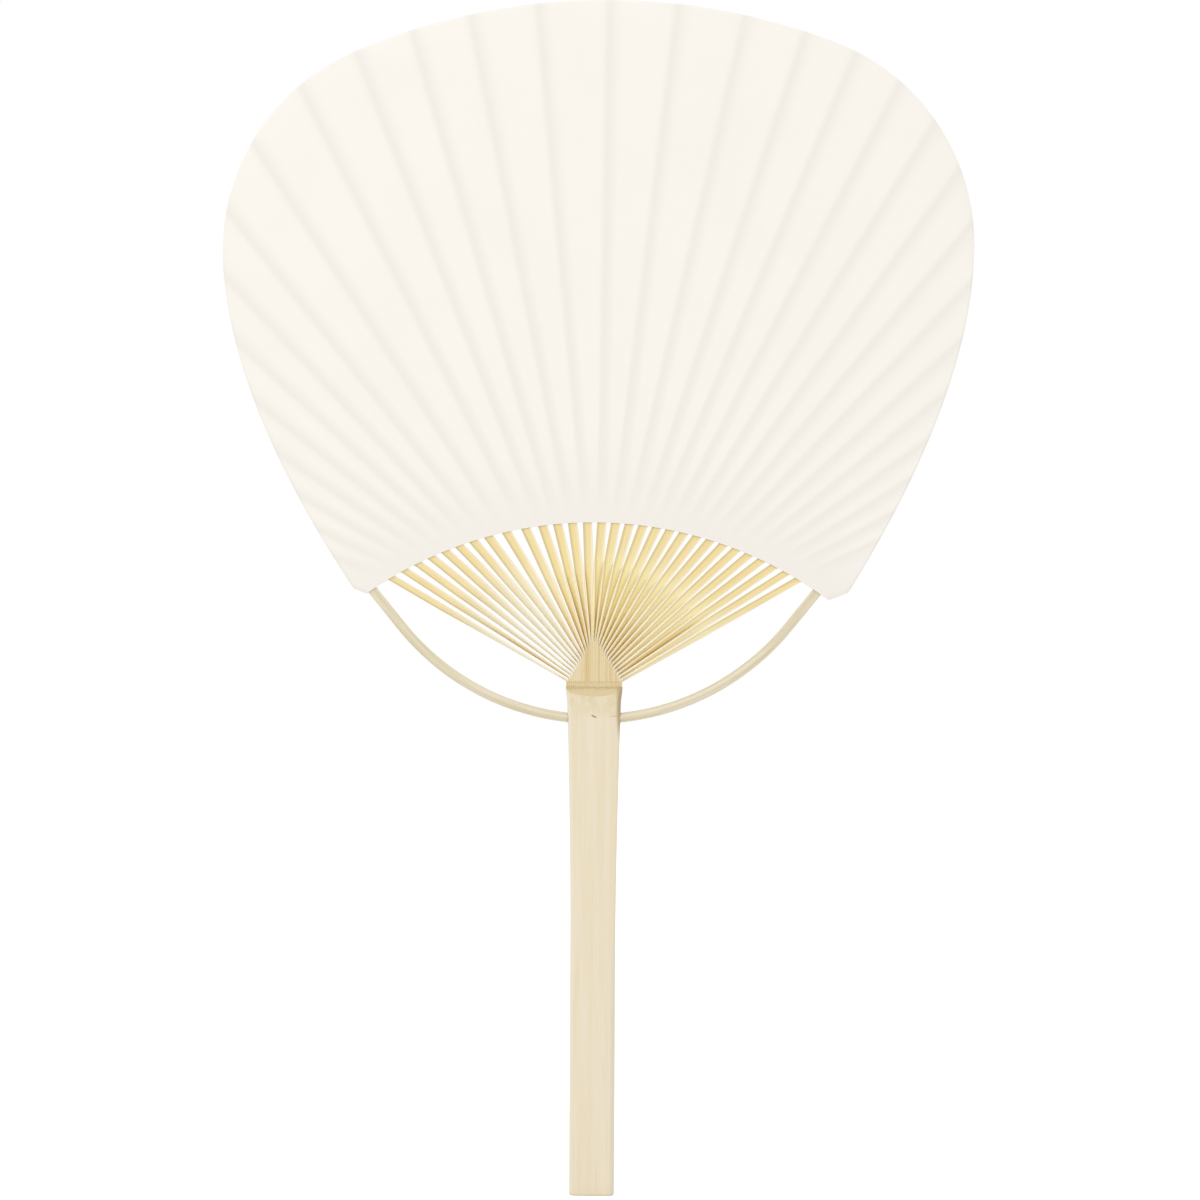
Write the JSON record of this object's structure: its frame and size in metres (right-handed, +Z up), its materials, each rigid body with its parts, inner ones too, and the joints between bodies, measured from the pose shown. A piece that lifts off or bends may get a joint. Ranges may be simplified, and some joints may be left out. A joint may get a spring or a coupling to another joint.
{
  "type": "paddle fan",
  "caption": "Rigid paper paddle fan: a flat bamboo handle split into fanned, twisting ribs, a bent bow through the neck and a smooth paper leaf on each face.",
  "frame": {"origin": "centre of the handle's butt end", "axes": "+Z up the handle towards the leaf, +X to the right seen from the front, +Y from the front to the back"},
  "size_m": [0.2329, 0.0056, 0.3705],
  "materials": {
    "planed_bamboo": "planed and rubbed, satin",
    "split_bamboo": "split along the grain, unpolished",
    "bow_bamboo": "scraped round, satin",
    "pasted_paper": "smooth matt laid paper",
    "cotton_thread": "undyed, matt"
  },
  "bodies": {
    "root": {"handle": "planed_bamboo", "rib_left_01": "split_bamboo", "rib_left_02": "split_bamboo", "rib_left_03": "split_bamboo", "rib_left_04": "split_bamboo", "rib_left_05": "split_bamboo", "rib_left_06": "split_bamboo", "rib_left_07": "split_bamboo", "rib_left_08": "split_bamboo", "rib_left_09": "split_bamboo", "rib_left_10": "split_bamboo", "rib_left_11": "split_bamboo", "rib_left_12": "split_bamboo", "rib_left_13": "split_bamboo", "rib_left_14": "split_bamboo", "rib_right_01": "split_bamboo", "rib_right_02": "split_bamboo", "rib_right_03": "split_bamboo", "rib_right_04": "split_bamboo", "rib_right_05": "split_bamboo", "rib_right_06": "split_bamboo", "rib_right_07": "split_bamboo", "rib_right_08": "split_bamboo", "rib_right_09": "split_bamboo", "rib_right_10": "split_bamboo", "rib_right_11": "split_bamboo", "rib_right_12": "split_bamboo", "rib_right_13": "split_bamboo", "rib_right_14": "split_bamboo", "rib_right_15": "split_bamboo", "rib_right_16": "split_bamboo", "bow": "bow_bamboo", "lacing_thread": "cotton_thread", "front_leaf": "pasted_paper", "back_leaf": "pasted_paper"}
  },
  "joints": []
}
